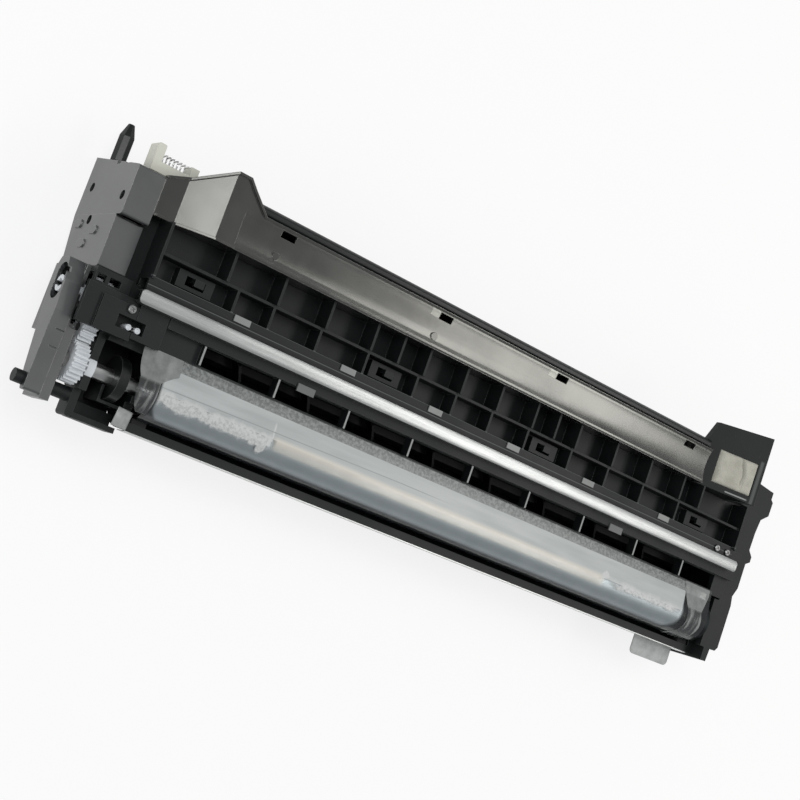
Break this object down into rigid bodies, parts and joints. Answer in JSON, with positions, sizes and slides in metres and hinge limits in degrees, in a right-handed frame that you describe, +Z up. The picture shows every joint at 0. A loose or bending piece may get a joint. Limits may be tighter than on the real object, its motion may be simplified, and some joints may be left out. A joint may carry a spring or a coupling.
{
  "type": "developer unit",
  "caption": "Long dark developer unit with a film-wrapped roller, a ribbed cover, a bright stay bar and a geared left end.",
  "frame": {"origin": "bottom centre of the unit's bounding box", "axes": "+X along the roller to the inlet end, +Y from the roller to the connector side, +Z up through the ribbed cover"},
  "size_m": [0.3742, 0.1142, 0.0533],
  "materials": {
    "housing_black": "fine grain, satin",
    "gloss_black": "glossy",
    "end_grey": "glossy",
    "sleeve_aluminium": "fine blasted",
    "magnet": "matt",
    "steel_shaft": "ground",
    "stay_metal": "bright drawn",
    "white_nylon": "satin",
    "ivory_nylon": "satin",
    "film": "clear film",
    "foam_cream": "open foam",
    "foam_dark": "felt",
    "pad_grey": "satin",
    "screw_steel": "plated",
    "contact_tin": "tinned"
  },
  "bodies": {
    "housing": {"blade_holder": "housing_black", "channel_cover": "gloss_black", "connector_body": "ivory_nylon", "connector_pins": "contact_tin", "cover_screws": "screw_steel", "drive_cover": "end_grey", "gear_cover_front": "end_grey", "gear_cover_rear": "end_grey", "gear_top_plate": "gloss_black", "guide_pin": "gloss_black", "holder_clips": "pad_grey", "inlet_cover": "housing_black", "inlet_sponge": "foam_cream", "ledge_pads": "pad_grey", "left_bracket": "housing_black", "left_side_frame": "housing_black", "lip_strip": "stay_metal", "locating_peg": "housing_black", "lower_housing": "housing_black", "magnet_core": "magnet", "protective_film": "film", "pull_tab": "film", "rear_rail": "housing_black", "regulating_blade": "stay_metal", "right_end_cover": "housing_black", "roller_bush": "white_nylon", "seal_pins": "white_nylon", "side_seal_left": "foam_dark", "side_seal_right": "foam_dark", "spacer_cover": "housing_black", "stay_bar": "stay_metal", "top_cover": "housing_black"},
    "roller": {"developing_sleeve": "sleeve_aluminium", "sleeve_flange_left": "steel_shaft", "sleeve_flange_right": "steel_shaft", "roller_gear": "white_nylon"},
    "spacer_left": {"spacer_wheel_left": "gloss_black"},
    "spacer_right": {"spacer_wheel_right": "gloss_black"},
    "idler": {"idler_gear": "white_nylon"},
    "coupling": {"drive_coupling": "white_nylon"},
    "supply": {"supply_auger": "housing_black"},
    "mixing": {"mixing_auger": "housing_black"}
  },
  "joints": [
    {"name": "roller_spin", "type": "hinge", "parent": "housing", "child": "roller", "pos_m": [0.0135, -0.0325, 0.03], "axis": [1, 0, 0], "continuous": true},
    {"name": "spacer_left_spin", "type": "hinge", "parent": "roller", "child": "spacer_left", "pos_m": [0.0135, -0.0325, 0.03], "axis": [1, 0, 0], "continuous": true},
    {"name": "spacer_right_spin", "type": "hinge", "parent": "housing", "child": "spacer_right", "pos_m": [0.0135, -0.0325, 0.03], "axis": [1, 0, 0], "continuous": true},
    {"name": "idler_spin", "type": "hinge", "parent": "housing", "child": "idler", "pos_m": [0.0135, -0.0205, 0.03], "axis": [1, 0, 0], "continuous": true},
    {"name": "coupling_spin", "type": "hinge", "parent": "housing", "child": "coupling", "pos_m": [0.0135, -0.0091, 0.03], "axis": [1, 0, 0], "continuous": true},
    {"name": "supply_spin", "type": "hinge", "parent": "housing", "child": "supply", "pos_m": [0.0135, -0.0091, 0.0144], "axis": [1, 0, 0], "continuous": true},
    {"name": "mixing_spin", "type": "hinge", "parent": "housing", "child": "mixing", "pos_m": [0.0135, 0.0089, 0.0144], "axis": [1, 0, 0], "continuous": true}
  ],
  "couplings": [
    {"joint": "idler_spin", "follows": "roller_spin", "ratio": -1.5},
    {"joint": "coupling_spin", "follows": "roller_spin", "ratio": 1.0909},
    {"joint": "supply_spin", "follows": "roller_spin", "ratio": -0.8},
    {"joint": "mixing_spin", "follows": "roller_spin", "ratio": 0.8}
  ]
}
